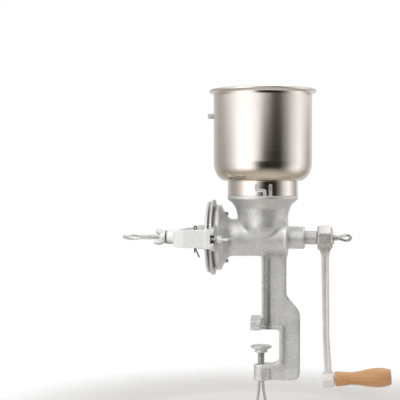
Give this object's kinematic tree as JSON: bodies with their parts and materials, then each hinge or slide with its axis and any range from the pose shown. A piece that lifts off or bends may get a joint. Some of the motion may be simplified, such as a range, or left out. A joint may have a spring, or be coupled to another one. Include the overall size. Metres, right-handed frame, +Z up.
{
  "type": "grain mill",
  "caption": "Hand-cranked cast grain mill that clamps to a table edge, with a round steel hopper over an auger, two burr plates behind a screw-adjusted yoke, and a crank with a wooden grip.",
  "frame": {"origin": "on the underside of the upper clamp jaw, where the mill rests on a table, below the hopper's axis", "axes": "+Z up along the hopper's axis, +X along the auger's axis towards the crank, -Y towards the front"},
  "size_m": [0.3638, 0.144, 0.4395],
  "materials": {
    "tinned_iron": "hot-tinned rough casting, satin",
    "stainless": "polished sheet with fine turning marks",
    "bright_steel": "zinc-plated, satin",
    "dark_steel": "plain dark steel",
    "wood": "turned hardwood, clear lacquer"
  },
  "bodies": {
    "frame": {"mill_body": "tinned_iron", "hopper_guide_pin": "bright_steel", "fixed_burr": "tinned_iron", "burr_screw_upper": "dark_steel", "burr_screw_lower": "dark_steel", "yoke": "tinned_iron", "yoke_stud_near": "bright_steel", "yoke_stud_far": "bright_steel"},
    "hopper": {"hopper_bowl": "stainless", "hopper_collar": "stainless", "hopper_lug": "stainless"},
    "thrust": {"thrust_ball": "bright_steel"},
    "rotor": {"auger": "tinned_iron", "burr_carrier": "tinned_iron", "rotating_burr": "tinned_iron", "carrier_screw_near": "bright_steel", "carrier_screw_far": "bright_steel", "cotter_pin": "dark_steel", "crank_arm": "tinned_iron", "handle_bolt": "bright_steel", "handle_washer": "bright_steel"},
    "handle": {"handle_grip": "wood"},
    "adjuster": {"adjusting_screw": "tinned_iron"},
    "lock_washer_body": {"lock_washer": "dark_steel"},
    "lock_nut": {"lock_wing_nut": "tinned_iron"},
    "near_washer": {"yoke_washer_near": "bright_steel"},
    "near_nut": {"yoke_wing_nut_near": "tinned_iron"},
    "far_washer": {"yoke_washer_far": "bright_steel"},
    "far_nut": {"yoke_wing_nut_far": "tinned_iron"},
    "crank_washer_body": {"crank_washer": "bright_steel"},
    "crank_screw": {"crank_thumb_screw": "tinned_iron"},
    "clamp_foot": {"clamp_pad": "tinned_iron"},
    "clamp_eye": {"clamp_screw": "tinned_iron"}
  },
  "joints": [
    {"name": "burr_gap", "type": "slide", "parent": "frame", "child": "thrust", "axis": [-1, 0, 0], "range_m": [0, 0.0035]},
    {"name": "adjusting_screw_turn", "type": "hinge", "parent": "thrust", "child": "adjuster", "pos_m": [-0.14, 0, 0.123], "axis": [-1, 0, 0], "range_deg": [0, 1008.1]},
    {"name": "crank_spin", "type": "hinge", "parent": "thrust", "child": "rotor", "pos_m": [0, 0, 0.123], "axis": [1, 0, 0], "continuous": true},
    {"name": "handle_spin", "type": "hinge", "parent": "rotor", "child": "handle", "pos_m": [0.096, 0, -0.0665], "axis": [0.9984, 0, 0.0558], "continuous": true},
    {"name": "clamp_travel", "type": "slide", "parent": "frame", "child": "clamp_foot", "axis": [0, 0, -1], "range_m": [0, 0.0135]},
    {"name": "clamp_screw_turn", "type": "hinge", "parent": "clamp_foot", "child": "clamp_eye", "pos_m": [-0.002, 0, -0.06], "axis": [0, 0, -1], "range_deg": [0, 3240.1]},
    {"name": "lock_washer_slide", "type": "slide", "parent": "frame", "child": "lock_washer_body", "axis": [-1, 0, 0], "range_m": [0, 0.003]},
    {"name": "lock_nut_turn", "type": "hinge", "parent": "lock_washer_body", "child": "lock_nut", "pos_m": [-0.136, 0, 0.123], "axis": [-1, 0, 0], "range_deg": [0, 860]},
    {"name": "near_washer_slide", "type": "slide", "parent": "frame", "child": "near_washer", "axis": [1, 0, 0], "range_m": [0, 0.004]},
    {"name": "near_nut_turn", "type": "hinge", "parent": "near_washer", "child": "near_nut", "pos_m": [-0.052, -0.0565, 0.123], "axis": [1, 0, 0], "range_deg": [0, 1430]},
    {"name": "far_washer_slide", "type": "slide", "parent": "frame", "child": "far_washer", "axis": [1, 0, 0], "range_m": [0, 0.004]},
    {"name": "far_nut_turn", "type": "hinge", "parent": "far_washer", "child": "far_nut", "pos_m": [-0.052, 0.0565, 0.123], "axis": [1, 0, 0], "range_deg": [0, 1430]},
    {"name": "crank_washer_slide", "type": "slide", "parent": "rotor", "child": "crank_washer_body", "axis": [1, 0, 0], "range_m": [0, 0.006]},
    {"name": "crank_screw_turn", "type": "hinge", "parent": "crank_washer_body", "child": "crank_screw", "pos_m": [0.1, 0, 0.123], "axis": [1, 0, 0], "range_deg": [0, 2150]},
    {"name": "hopper_lift", "type": "slide", "parent": "frame", "child": "hopper", "axis": [0, 0, 1], "range_m": [0, 0.06]}
  ],
  "couplings": [
    {"joint": "adjusting_screw_turn", "follows": "burr_gap", "rad_per_m": 5026.5},
    {"joint": "clamp_screw_turn", "follows": "clamp_travel", "rad_per_m": 4188.8},
    {"joint": "lock_washer_slide", "follows": "lock_nut_turn", "m_per_rad": 0.00019894},
    {"joint": "near_washer_slide", "follows": "near_nut_turn", "m_per_rad": 0.00015915},
    {"joint": "far_washer_slide", "follows": "far_nut_turn", "m_per_rad": 0.00015915},
    {"joint": "crank_washer_slide", "follows": "crank_screw_turn", "m_per_rad": 0.00015915}
  ]
}
